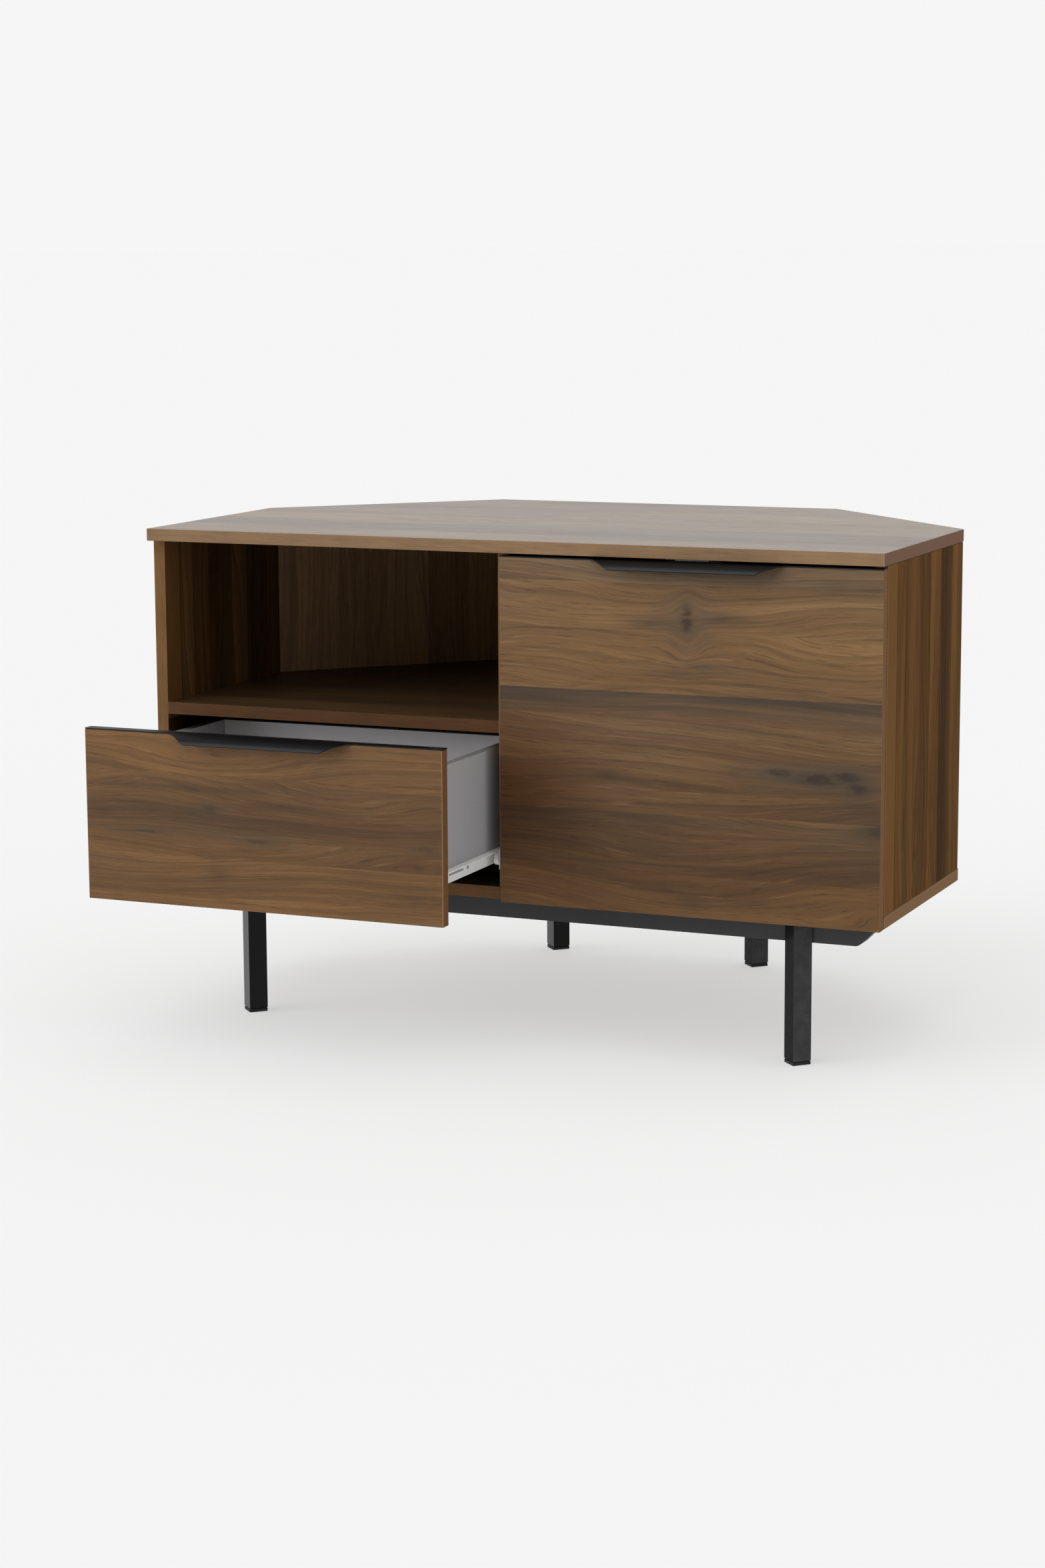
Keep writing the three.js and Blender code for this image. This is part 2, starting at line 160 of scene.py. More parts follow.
# ---------------------------------------------------------------- walnut boards
def walnut(name, grain, face, seed=0.0, planks=(), knots=(), streaks=(), bands=(), tone=0.0, rough=0.46, spec=0.22,
           lines=1.0, plain=None, painted_light_and_shade=None, edge_tone=(1.0, 1.0, 1.0), contrast=1.0,
           tint=None, low=None, painted_shadow_patch=None, side_tone=(1.0, 1.0, 1.0)):
    """Walnut-effect foil. grain: axis the grain runs along; face: the axis across the thickness, whose two faces
    carry the decor, while the other faces carry plain edging (D and E are the two diagonal boards). planks:
    (position across the grain where a printed stave starts, tone, greyness), lowest first; knots (u, v, a, b,
    strength); streaks (u, v, a, b, strength) darken along the grain; bands (u, a, top v, b, strength) fade away
    below a stave's edge; plain: (axis, low, high) range that carries edging too; inner: (direction, gain[, axis, low,
    high]) gives painted shade (gain below 1) and painted light (gain above 1) to the faces turned that way."""
    k = Net(name)
    x, y, z = k.xyz(k.tc("Object"))
    nx, ny, nz = k.xyz(k.tc("Normal"))
    ax = {"X": x, "Y": y, "Z": z}
    u = ax[grain]
    if face == "D":
        v = k.m("MULTIPLY", k.m("SUBTRACT", x, y), 0.7071)
    elif face == "E":
        v = k.m("MULTIPLY", k.m("ADD", x, y), 0.7071)
    else:
        v = ax[[q for q in "XYZ" if q != grain and q != face][0]]
    mul = lambda p, q: k.m("MULTIPLY", p, q)
    add = lambda p, q: k.m("ADD", p, q)
    def nz3(su, sv, off, detail=2.0, rgh=0.5, vv=None):
        return k.noise(k.vec(mul(u, su), mul(vv if vv is not None else v, sv), add(stave, off)), 1.0, detail, rgh)

    stave = seed
    tn = gr = None
    if planks:
        lo, hi = planks[0][0] - 1.0, planks[-1][0] + 1.0
        f = k.m("DIVIDE", k.m("SUBTRACT", v, lo), hi - lo)
        pos = [0.0] + [(p[0] - lo) / (hi - lo) for p in planks[1:]]
        s_ = k.ramp(f, [(p, (((i * 0.618 + 0.13) % 1.0),) * 3) for i, p in enumerate(pos)], "CONSTANT")
        stave = add(mul(s_, 37.0), seed)
        tn = k.ramp(f, [(p, (0.5 + q[1] * 0.5,) * 3) for p, q in zip(pos, planks)], "CONSTANT")
        gr = k.ramp(f, [(p, (q[2],) * 3) for p, q in zip(pos, planks)], "CONSTANT")
    # the grain wanders, and bends round the knots
    w1 = mul(k.m("SUBTRACT", nz3(1.9, 8.5, 0.0, 1.0, 0.4), 0.5), 0.125)
    w2 = mul(k.m("SUBTRACT", nz3(6.5, 24.0, 2.0, 2.0, 0.5), 0.5), 0.009)
    vw = add(add(v, w1), w2)
    for (u0, v0, a_, b_, s) in knots:
        bl = k.blob(u, v, u0, v0, a_ * 2.2, b_ * 2.0)
        vw = add(vw, mul(mul(k.m("SUBTRACT", v, v0), bl), -0.8 * s))
    # tone: broad bands, then fibre
    broad = nz3(0.9, 15.0, 9.0, 3.0, 0.5, vw)
    mid = nz3(2.4, 62.0, 5.0, 3.0, 0.55, vw)
    fibre = nz3(7.0, 300.0, 3.0, 4.0, 0.62, vw)
    cloud = nz3(2.6, 9.0, 21.0, 2.0, 0.5)
    t = add(0.5 + tone, mul(k.m("SUBTRACT", broad, 0.5), 1.05 * contrast))
    t = add(t, mul(k.m("SUBTRACT", mid, 0.5), 0.62 * contrast))
    t = add(t, mul(k.m("SUBTRACT", fibre, 0.5), 0.42))
    if tn is not None:
        t = add(t, mul(k.m("SUBTRACT", tn, 0.5), 2.0))
    col = k.ramp(t, [(0.0, srgb(60, 42, 25)), (0.25, srgb(86, 62, 38)), (0.5, srgb(109, 80, 49)),
                     (0.75, srgb(128, 96, 60)), (1.0, srgb(142, 109, 71))])
    # growth lines: contour lines of the wandering field, drawn as a soft rise and a sharp end
    g1 = k.m("FRACT", add(mul(vw, 52.0), mul(broad, 0.7)))
    g2 = k.m("FRACT", add(mul(vw, 150.0), mul(mid, 1.6)))
    l1 = k.ramp(g1, [(0.0, (0.30,) * 3), (0.06, (0.0,) * 3), (0.60, (0.05,) * 3), (0.84, (0.45,) * 3), (0.93, (1.0,) * 3), (1.0, (0.75,) * 3)])
    l2 = k.ramp(g2, [(0.0, (0.2,) * 3), (0.12, (0.0,) * 3), (0.5, (0.1,) * 3), (0.9, (1.0,) * 3), (1.0, (0.3,) * 3)])
    where = mul(k.mapr(cloud, 0.36, 0.56, 0.25, 1.0), k.mapr(mid, 0.35, 0.6, 0.45, 1.15))
    col = k.mix(mul(mul(l1, where), 0.55 * lines), col, srgb(70, 48, 28))
    col = k.mix(mul(mul(l2, k.mapr(cloud, 0.62, 0.4, 0.2, 1.0)), 0.34 * lines), col, srgb(70, 50, 30))
    # pores: short dark lines along the grain, light flecks between them
    pores = k.noise(k.vec(mul(u, 34.0), mul(vw, 900.0), add(stave, 11.0)), 1.0, 2.0, 0.6)
    pore2 = k.noise(k.vec(mul(u, 16.0), mul(vw, 420.0), add(stave, 14.0)), 1.0, 2.0, 0.6)
    col = k.mix(k.mapr(pores, 0.57, 0.72, 0.0, 0.48), col, srgb(52, 37, 25))
    col = k.mix(k.mapr(pore2, 0.60, 0.74, 0.0, 0.42), col, srgb(58, 42, 28))
    col = k.mix(k.mapr(pore2, 0.40, 0.28, 0.0, 0.20), col, srgb(158, 126, 94))
    # greyish drifts and greyish staves
    grey = k.mapr(cloud, 0.50, 0.72, 0.0, 0.30)
    if gr is not None:
        grey = k.m("MINIMUM", add(grey, gr), 1.0)
    bw = k.new("ShaderNodeRGBToBW")
    k.put(bw.inputs[0], col)
    greyed = k.mix(1.0, k.vec(bw.outputs[0], bw.outputs[0], bw.outputs[0]), (0.99, 0.86, 0.62), "MULTIPLY")
    col = k.mix(mul(grey, 0.62), col, greyed)
    if bands:
        tot = None
        for (u0, a_, vt, b_, s) in bands:
            du = k.m("DIVIDE", k.m("SUBTRACT", u, u0), a_)
            dv = k.m("DIVIDE", k.m("SUBTRACT", vt, v), b_)
            e = mul(mul(k.m("POWER", 2.718, mul(add(mul(du, du), mul(dv, dv)), -1.0)), k.mapr(v, vt - 0.0004, vt + 0.0004, 1.0, 0.0)), s)
            tot = e if tot is None else k.m("MAXIMUM", tot, e)
        rag = k.mapr(nz3(4.0, 120.0, 31.0, 3.0, 0.6, vw), 0.3, 0.7, 0.65, 1.2)
        col = k.mix(k.m("MINIMUM", mul(tot, rag), 0.95), col, srgb(62, 51, 41))
    if streaks:
        tot = None
        for (u0, v0, a_, b_, s) in streaks:
            e = mul(k.blob(u, v, u0, v0, a_, b_), s)
            tot = e if tot is None else k.m("MAXIMUM", tot, e)
        rag = k.mapr(nz3(9.0, 150.0, 33.0, 4.0, 0.65, vw), 0.33, 0.67, 0.45, 1.3)
        col = k.mix(k.m("MINIMUM", mul(tot, rag), 0.92), col, srgb(60, 49, 39))
    if knots:
        core = halo = None
        for (u0, v0, a_, b_, s) in knots:
            c_ = mul(k.blob(u, v, u0, v0, a_, b_), s)
            h_ = mul(k.blob(u, v, u0, v0, a_ * 3.2 + 0.008, b_ * 1.9 + 0.005), s * 0.80)
            core = c_ if core is None else k.m("MAXIMUM", core, c_)
            halo = h_ if halo is None else k.m("MAXIMUM", halo, h_)
        rag = k.mapr(nz3(70.0, 190.0, 35.0, 4.0, 0.65), 0.36, 0.64, 0.35, 1.35)
        soft = k.mapr(nz3(16.0, 60.0, 37.0, 3.0, 0.6, vw), 0.3, 0.7, 0.5, 1.2)
        col = k.mix(k.m("MINIMUM", mul(halo, soft), 0.85), col, srgb(77, 66, 52))
        col = k.mix(k.m("MINIMUM", mul(core, rag), 0.86), col, srgb(50, 41, 33))
    if tint:
        col = k.mix(1.0, col, tint, "MULTIPLY")
    # painted shade: the colour darkened towards lower v, the bottom of the door
    if low:
        col = k.mix(k.mapr(v, low[0], low[1], 0.0, 1.0), col, k.mix(1.0, col, low[2], "MULTIPLY"))
    if painted_shadow_patch:                   # painted shadow: a soft dark patch standing for the open drawer's shadow on the door
        col = k.mix(k.blob(u, v, *painted_shadow_patch[:4]), col, k.mix(1.0, col, painted_shadow_patch[4], "MULTIPLY"))
    # plain edging on the thin faces
    if face in "XYZ":
        nf = k.m("ABSOLUTE", {"X": nx, "Y": ny, "Z": nz}[face])
    elif face == "D":
        nf = k.m("ABSOLUTE", mul(add(nx, ny), 0.7071))
    else:
        nf = k.m("ABSOLUTE", mul(k.m("SUBTRACT", nx, ny), 0.7071))
    edge = k.mapr(nf, 0.62, 0.72, 1.0, 0.0)
    if plain:
        a_ = ax[plain[0]]
        inside = mul(k.mapr(a_, plain[1], plain[1] + 0.0002, 0.0, 1.0), k.mapr(a_, plain[2] - 0.0002, plain[2], 1.0, 0.0))
        edge = k.m("MAXIMUM", edge, inside)
        seam = mul(k.mapr(a_, plain[2] - 0.0002, plain[2] + 0.0006, 0.0, 1.0), k.mapr(a_, plain[2] + 0.0008, plain[2] + 0.0022, 1.0, 0.0))
    en = k.noise(k.vec(mul(x, 22.0), mul(y, 22.0), mul(z, 22.0)), 1.0, 3.0, 0.6)
    ef = k.noise(k.vec(mul(x, 24.0 if grain == "X" else 420.0), mul(y, 420.0), mul(z, 24.0 if grain == "Z" else 420.0)), 1.0, 3.0, 0.62)
    e0, e1, e2 = (tuple(c * e for c, e in zip(srgb(*q), edge_tone)) for q in ((122, 91, 59), (107, 78, 49), (86, 61, 38)))
    edge_col = k.mix(k.mapr(en, 0.3, 0.7, 0.0, 0.7), e0, e1)
    edge_col = k.mix(k.mapr(ef, 0.46, 0.72, 0.0, 0.5), edge_col, e2)
    side = k.mapr(k.m("ABSOLUTE", nx), 0.5, 0.8, 0.0, 1.0)
    s0, s1 = (tuple(min(c * e, 1.0) for c, e in zip(srgb(*q), side_tone)) for q in ((112, 75, 40), (94, 62, 33)))
    edge_col = k.mix(mul(side, 0.85), edge_col, k.mix(k.mapr(ef, 0.35, 0.7, 0.0, 0.7), s0, s1))
    if plain:
        edge_col = k.mix(mul(mul(inside, side), 0.9), edge_col, k.mix(k.mapr(ef, 0.35, 0.7, 0.0, 0.7), srgb(112, 80, 44), srgb(98, 69, 38)))
    col = k.mix(edge, col, edge_col)
    if plain:
        col = k.mix(mul(seam, 0.85), col, srgb(36, 24, 14))
    # painted highlight: a lighter rounded edge where the edging meets the face
    painted_arris_highlight = k.mapr(mul(k.m("ABSOLUTE", nx), k.m("ABSOLUTE", ny)), 0.12, 0.30, 0.0, 0.75) if face in "XYZ" else None
    if painted_arris_highlight is not None:
        col = k.mix(painted_arris_highlight, col, srgb(158, 122, 88))
    # painted light and shade: each listed face direction is multiplied by its gain, darker inside the carcass and under
    # the top, lighter on the inside of the back and diagonal boards
    for (dx, dy, dz), g, *zone in (painted_light_and_shade or ()):
        d = k.mapr(add(add(mul(nx, dx), mul(ny, dy)), mul(nz, dz)), 0.5, 0.8, 0.0, 1.0)
        if zone:
            a_, z0, z1 = ax[zone[0]], zone[1], zone[2]
            d = mul(d, mul(k.mapr(a_, z0 - 0.002, z0, 0.0, 1.0), k.mapr(a_, z1, z1 + 0.002, 1.0, 0.0)))
        col = k.mix(d, col, k.mix(1.0, col, (g, g * 0.98, g * 0.96), "MULTIPLY"))
    k.put(k.bsdf.inputs["Base Color"], col)
    r = add(add(rough, mul(k.m("SUBTRACT", pores, 0.5), 0.24)), mul(k.m("SUBTRACT", cloud, 0.5), 0.10))
    k.put(k.bsdf.inputs["Roughness"], k.m("MAXIMUM", r, mul(edge, 0.85)))
    k.bsdf.inputs["IOR"].default_value = 1.5
    k.bsdf.inputs["Specular IOR Level"].default_value = spec
    h = add(mul(pores, -0.6), mul(pore2, -0.5))
    h = mul(h, k.m("SUBTRACT", 1.0, mul(edge, 0.7)))
    k.put(k.bsdf.inputs["Normal"], k.bump(h, 0.35, 0.0003))
    return k.mat


def mulmask(k, ny, nz):
    """1 on a surface that rolls over from facing up to facing the front."""
    return k.m("MULTIPLY", k.mapr(ny, -0.46, -0.70, 0.0, 0.8), k.mapr(nz, 0.10, 0.40, 0.15, 1.0))


def coated(name, base, spec_rough, speck=0.0, metal=0.0, grain=900.0, bump=0.2, dark=0.75, wear=None, spec=0.5, painted_side_light_and_shade=None, painted_lip_highlight=None):
    """Powder coat, lacquer or moulded plastic: fine grain, soft tone drift, worn rims."""
    k = Net(name)
    p = k.tc("Object")
    fine = k.noise(p, grain, 2.0, 0.5)
    drift = k.noise(p, 14.0, 3.0, 0.5)
    smear = k.noise(k.vec(*[k.m("MULTIPLY", c, s) for c, s in zip(k.xyz(p), (30.0, 90.0, 90.0))]), 1.0, 4.0, 0.6)
    c0 = base
    c1 = tuple(c * dark for c in base)
    col = k.mix(k.mapr(drift, 0.3, 0.7, 0.0, 0.6), c0, c1)
    col = k.mix(k.mapr(fine, 0.45, 0.75, 0.0, speck), col, tuple(min(1.0, c * 1.6 + 0.01) for c in base))
    if wear is not None:
        g = k.new("ShaderNodeNewGeometry")
        edge = k.mapr(g.outputs["Pointiness"], 0.515, 0.56, 0.0, 0.5)
        col = k.mix(k.m("MULTIPLY", edge, k.mapr(smear, 0.4, 0.65, 0.2, 1.0)), col, wear)
    if painted_lip_highlight is not None:        # painted highlight: the rolled front of the pull lightened
        _, ny, nz = k.xyz(k.tc("Normal"))
        col = k.mix(mulmask(k, ny, nz), col, painted_lip_highlight)
    if painted_side_light_and_shade is not None:      # painted light and shade: the coat lightened and darkened on the faces turned to the left and to the right
        nx, _, _ = k.xyz(k.tc("Normal"))
        col = k.mix(k.mapr(nx, -0.2, -0.5, 0.0, 1.0), col, k.mix(1.0, col, (painted_side_light_and_shade[0],) * 3, "MULTIPLY"))
        col = k.mix(k.mapr(nx, 0.2, 0.5, 0.0, 1.0), col, k.mix(1.0, col, (painted_side_light_and_shade[1],) * 3, "MULTIPLY"))
    k.put(k.bsdf.inputs["Base Color"], col)
    k.bsdf.inputs["Metallic"].default_value = metal
    k.bsdf.inputs["Specular IOR Level"].default_value = spec
    rr = k.m("ADD", spec_rough, k.m("MULTIPLY", k.m("SUBTRACT", smear, 0.5), 0.22))
    k.put(k.bsdf.inputs["Roughness"], rr)
    k.put(k.bsdf.inputs["Normal"], k.bump(fine, bump, 0.0002))
    return k.mat


def plated(name, base, rough=0.28):
    k = Net(name)
    p = k.tc("Object")
    x, y, z = k.xyz(p)
    br = k.noise(k.vec(k.m("MULTIPLY", x, 300.0), k.m("MULTIPLY", y, 1500.0), k.m("MULTIPLY", z, 1500.0)), 1.0, 3.0, 0.6)
    drift = k.noise(p, 40.0, 4.0, 0.6)
    k.put(k.bsdf.inputs["Base Color"], k.mix(k.mapr(drift, 0.35, 0.7, 0.0, 0.5), base, tuple(c * 0.7 for c in base)))
    k.bsdf.inputs["Metallic"].default_value = 1.0
    k.put(k.bsdf.inputs["Roughness"], k.m("ADD", rough, k.m("MULTIPLY", k.m("SUBTRACT", br, 0.5), 0.3)))
    k.put(k.bsdf.inputs["Normal"], k.bump(br, 0.08, 0.0001))
    return k.mat


def foil(name, base):
    """Light grey foil on the drawer boards, with a very faint line texture."""
    k = Net(name)
    x, y, z = k.xyz(k.tc("Object"))
    line = k.noise(k.vec(k.m("MULTIPLY", x, 40.0), k.m("MULTIPLY", y, 40.0), k.m("MULTIPLY", z, 900.0)), 1.0, 3.0, 0.6)
    drift = k.noise(k.tc("Object"), 7.0, 3.0, 0.5)
    col = k.mix(k.mapr(line, 0.3, 0.7, 0.0, 0.35), base, tuple(c * 0.86 for c in base))
    col = k.mix(k.mapr(drift, 0.3, 0.7, 0.0, 0.35), col, tuple(c * 0.92 for c in base))
    _, _, nz = k.xyz(k.tc("Normal"))      # painted shade: the faces turned up along the top of the drawer boards darkened
    col = k.mix(k.m("MULTIPLY", k.mapr(nz, 0.5, 0.8, 0.0, 0.8), k.mapr(z, 0.30, 0.31, 0.0, 1.0)), col, srgb(96, 96, 98))
    k.put(k.bsdf.inputs["Base Color"], col)
    k.put(k.bsdf.inputs["Roughness"], k.m("ADD", 0.42, k.m("MULTIPLY", k.m("SUBTRACT", line, 0.5), 0.15)))
    k.put(k.bsdf.inputs["Normal"], k.bump(line, 0.12, 0.0001))
    return k.mat


# door and drawer fronts, across = z; staves as printed
# painted shadow on the door: deep puts a soft dark patch at its lower left, next to the open drawer
M_DOOR = walnut("walnut_flap", "X", "Y", seed=3.1,
                # low: painted shade, the door darker towards its bottom
                low=(0.43, 0.25, (0.78, 0.71, 0.61)), lines=0.8, painted_shadow_patch=(0.015, 0.335, 0.085, 0.080, (0.62, 0.50, 0.38)),
                planks=((0.10, 0.02, 0.0), (0.2355, -0.06, 0.08), (0.3145, -0.03, 0.0), (0.4275, -0.02, 0.05), (0.4635, 0.16, 0.0),
                        (0.5365, 0.07, 0.06), (0.5905, -0.06, 0.45)),
                knots=((0.2510, 0.556, 0.0080, 0.017, 0.95), (0.3715, 0.374, 0.014, 0.0045, 1.0), (0.422, 0.3685, 0.024, 0.007, 1.15),
                       (0.4560, 0.3735, 0.018, 0.006, 1.05), (0.4710, 0.3600, 0.012, 0.007, 0.95), (0.4960, 0.3075, 0.016, 0.008, 0.7),
                       (0.2700, 0.4985, 0.016, 0.0022, 0.5)),
                streaks=((0.4250, 0.3700, 0.050, 0.0090, 1.25), (0.2350, 0.4890, 0.040, 0.004, 0.45), (0.1462, 0.3592, 0.020, 0.008, 0.60), (0.3156, 0.3725, 0.012, 0.006, 0.38),
                         (0.4672, 0.3398, 0.030, 0.012, 0.45), (0.2050, 0.5500, 0.036, 0.010, 0.62), (0.2950, 0.5590, 0.036, 0.009, 0.62),
                         (0.0800, 0.5390, 0.100, 0.0016, 0.45), (0.2571, 0.2026, 0.018, 0.010, 0.35), (0.1900, 0.2490, 0.240, 0.0022, 0.50),
                         (0.4300, 0.2500, 0.100, 0.0040, 0.40), (0.0300, 0.4100, 0.060, 0.0022, 0.25), (0.2600, 0.6150, 0.120, 0.009, 0.50),
                         (0.3600, 0.6000, 0.070, 0.005, 0.35), (0.4400, 0.6020, 0.060, 0.012, 0.30)),
                bands=((0.25, 3.0, 0.4635, 0.034, 0.92), (0.07, 0.120, 0.3125, 0.026, 0.62), (0.20, 0.110, 0.3125, 0.015, 0.66),
                       (0.50, 0.035, 0.3145, 0.020, 0.6), (0.30, 0.10, 0.3105, 0.014, 0.45)))
M_FRONT = walnut("walnut_drawer", "X", "Y", seed=8.4, tint=(0.90, 0.83, 0.72), lines=0.8,
                 planks=((0.10, -0.03, 0.0), (0.2465, 0.0, 0.0), (0.2735, -0.08, 0.10), (0.3485, 0.10, 0.0)),
                 knots=((-0.3200, 0.3125, 0.009, 0.0045, 0.62), (-0.2568, 0.2754, 0.016, 0.0018, 0.7), (-0.4093, 0.2785, 0.018, 0.0016, 0.55),
                        (-0.0248, 0.2814, 0.016, 0.004, 0.45)),
                 streaks=((-0.3800, 0.3375, 0.150, 0.0045, 0.55), (-0.3402, 0.3096, 0.026, 0.006, 0.42), (-0.4800, 0.3040, 0.020, 0.008, 0.42),
                          (-0.2100, 0.3205, 0.070, 0.006, 0.48), (-0.4085, 0.3083, 0.030, 0.005, 0.38), (-0.4543, 0.2777, 0.03, 0.002, 0.5),
                          (-0.2739, 0.2626, 0.018, 0.0022, 0.45), (-0.3247, 0.2505, 0.016, 0.0022, 0.5), (-0.3117, 0.2295, 0.022, 0.011, 0.42),
                          (-0.0415, 0.2210, 0.040, 0.006, 0.50), (-0.1100, 0.2450, 0.060, 0.006, 0.3)),
                 bands=((-0.10, 0.25, 0.3485, 0.012, 0.35),))
# Through inner, several boards below carry painted shade on their inside faces, and the back and diagonal boards carry
# painted light on their inside faces.
M_TOP = walnut("walnut_top", "X", "Z", seed=14.2, planks=((-0.50, 0.0, 0.1), (-0.11, -0.1, 0.2), (0.02, 0.05, 0.1), (0.13, -0.05, 0.2), (0.26, 0.0, 0.1)),
               rough=0.34, spec=0.64, painted_light_and_shade=(((0, 0, -1), 0.8),), edge_tone=(1.2, 1.3, 1.4), side_tone=(0.72, 0.55, 0.35), tint=(1.06, 1.18, 1.42))
SIDES = ((YS - 0.5, 0.0, 0.0), (YS + 0.085, -0.12, 0.1), (YS + 0.131, -0.16, 0.1), (YS + 0.199, 0.05, 0.05), (YS + 0.236, -0.24, 0.25), (YS + 0.292, -0.06, 0.1))
M_SIDE = walnut("walnut_side_right", "Z", "X", seed=21.7, planks=SIDES, tone=-0.06, tint=(0.98, 0.82, 0.48), plain=("Y", YS, YS + 0.057),
                knots=((0.30, YS + 0.096, 0.028, 0.006, 0.5),), spec=0.02, rough=0.7, painted_light_and_shade=(((-1, 0, 0), 0.7),))
M_SIDE_L = walnut("walnut_side_left", "Z", "X", seed=23.9, planks=SIDES, tone=-0.06, tint=(0.94, 0.84, 0.66), plain=("Y", YS, YS + 0.057),
                  knots=((0.41, YS + 0.17, 0.028, 0.006, 0.5),), spec=0.02, rough=0.7, painted_light_and_shade=(((1, 0, 0), 0.9, "Z", 0.392, 1.0), ((1, 0, 0), 0.22, "Z", 0.0, 0.392)))
M_DIVIDER = walnut("walnut_divider", "Z", "X", seed=27.7, planks=((-0.5, 0.0, 0.1), (-0.1, -0.1, 0.0), (0.05, 0.1, 0.2), (0.2, -0.1, 0.1)), tone=0.0)
# painted shade: the shelf's and the bottom's edges darkened through edge_tone, and the shelf's top and the bottom's
# upper face under the drawer through inner
M_SHELF = walnut("walnut_shelf", "X", "Z", seed=31.0, tone=-0.1, edge_tone=(0.50, 0.39, 0.27), painted_light_and_shade=(((0, 0, 1), 0.58),), spec=0.3)
M_BOTTOM = walnut("walnut_bottom", "X", "Z", seed=35.0, tone=-0.1, edge_tone=(0.72, 0.68, 0.66), side_tone=(1.3, 1.6, 2.0), painted_light_and_shade=(((0, 0, 1), 0.12, "X", -0.6, -0.008),))
STRIPES = ((-0.04, 0.0), (0.10, 0.1), (-0.20, 0.3), (0.08, 0.0), (-0.10, 0.2), (0.12, 0.0), (-0.18, 0.2), (0.04, 0.1))
M_BACK = walnut("walnut_back", "Z", "Y", seed=41.0, planks=[(-0.30 + 0.072 * i, *STRIPES[i % 8]) for i in range(9)], painted_light_and_shade=(((0, -1, 0), 3.0),))
M_DIAG_R = walnut("walnut_diagonal_right", "Z", "D", seed=45.0, planks=[(-0.10 + 0.066 * i, *STRIPES[(i * 3) % 8]) for i in range(11)], painted_light_and_shade=(((-0.7071, -0.7071, 0), 1.2),))
M_DIAG_L = walnut("walnut_diagonal_left", "Z", "E", seed=49.0, planks=[(-0.62 + 0.066 * i, STRIPES[(i * 5 + 1) % 8][0] * 0.5, 0.3) for i in range(11)], contrast=0.5, tone=-0.04, painted_light_and_shade=(((0.7071, -0.7071, 0), 1.9),))
# painted shade: the black coat darkened on the faces turned to the left
M_BLACK = coated("black_powder_coat", srgb(52, 52, 53), 0.50, speck=0.12, grain=1400.0, bump=0.12, wear=srgb(84, 84, 84), spec=0.12, painted_side_light_and_shade=(0.02, 1.0), dark=0.93)
# a lighter copy of the black coat for the legs on the left, with painted light on their left-turned faces and painted
# shade on their right-turned faces
M_BLACK_LEFT_PAINTED_LIGHT_AND_SHADE = coated("black_powder_coat_left_painted_light_and_shade", srgb(76, 76, 77), 0.50, speck=0.08, grain=1400.0, bump=0.12, wear=srgb(84, 84, 84), spec=0.10, painted_side_light_and_shade=(1.3, 0.16), dark=0.93)
M_RAIL = coated("black_lacquer_rail", srgb(57, 57, 58), 0.55, speck=0.1, grain=900.0, bump=0.15, spec=0.25)
# painted highlight: the lip colour lightens the pull's rolled front
M_PULL = coated("black_satin_pull", srgb(9, 9, 10), 0.40, speck=0.05, grain=1800.0, bump=0.05, wear=srgb(58, 58, 58), spec=0.07, painted_lip_highlight=srgb(56, 56, 57))
M_CAP = coated("black_moulded_cap", srgb(24, 24, 24), 0.6, speck=0.1, grain=700.0, bump=0.3, spec=0.3)
M_WHITE_STEEL = coated("white_lacquer_slide", srgb(236, 236, 235), 0.35, speck=0.05, grain=900.0, bump=0.06, dark=0.92)
M_WHITE_PLASTIC = coated("white_nylon", srgb(232, 231, 226), 0.4, speck=0.05, grain=600.0, bump=0.1, dark=0.93)
M_NICKEL = plated("nickel_plate", srgb(190, 188, 182))
M_FOIL = foil("grey_foil", srgb(172, 172, 174))
# a near-white copy of the grey foil for the drawer back: painted light inside the drawer
M_FOIL_PAINTED_LIGHT = foil("light_foil", srgb(248, 248, 249))

MATS = {"top_panel": M_TOP, "left_side_panel": M_SIDE_L, "right_side_panel": M_SIDE, "divider_panel": M_DIVIDER,
        "fixed_shelf": M_SHELF, "drawer_front": M_FRONT, "door_panel": M_DOOR, "bottom_panel": M_BOTTOM,
        "back_panel_left": M_DIAG_L, "back_panel_right": M_DIAG_R, "back_panel_centre": M_BACK,
        "front_rail": M_RAIL, "rear_rail": M_RAIL, "drawer_handle": M_PULL, "door_handle": M_PULL,
        "drawer_back": M_FOIL_PAINTED_LIGHT, "flap_catch": M_WHITE_PLASTIC, "flap_catch_plate": M_NICKEL}
for n in N:
    if n in MATS:
        continue
    if n.startswith("leg_bolt") or n.startswith(("hinge_", "stay_bracket", "stay_arm")):
        MATS[n] = M_NICKEL
    elif n.startswith("leg_"):
        MATS[n] = M_BLACK_LEFT_PAINTED_LIGHT_AND_SHADE if n.endswith("_left") else M_BLACK
    elif n.startswith(("foot_cap", "stay_block")):
        MATS[n] = M_CAP
    elif n.startswith("slide_roller"):
        MATS[n] = M_WHITE_PLASTIC
    elif n.startswith("slide_"):
        MATS[n] = M_WHITE_STEEL
    elif n.startswith("drawer_"):
        MATS[n] = M_FOIL
    else:
        raise RuntimeError("no material for " + n)

BEVEL = {"drawer_front": 0.0009, "door_panel": 0.0009, "top_panel": 0.0009, "bottom_panel": 0.0008,
         "front_rail": 0.0012, "rear_rail": 0.0012, "slide_": 0.0004, "leg_bolt": 0.0004, "leg_": 0.0016, "foot_cap": 0.0012,
         "hinge_": 0.0004, "stay_": 0.0004, "flap_catch": 0.0006}


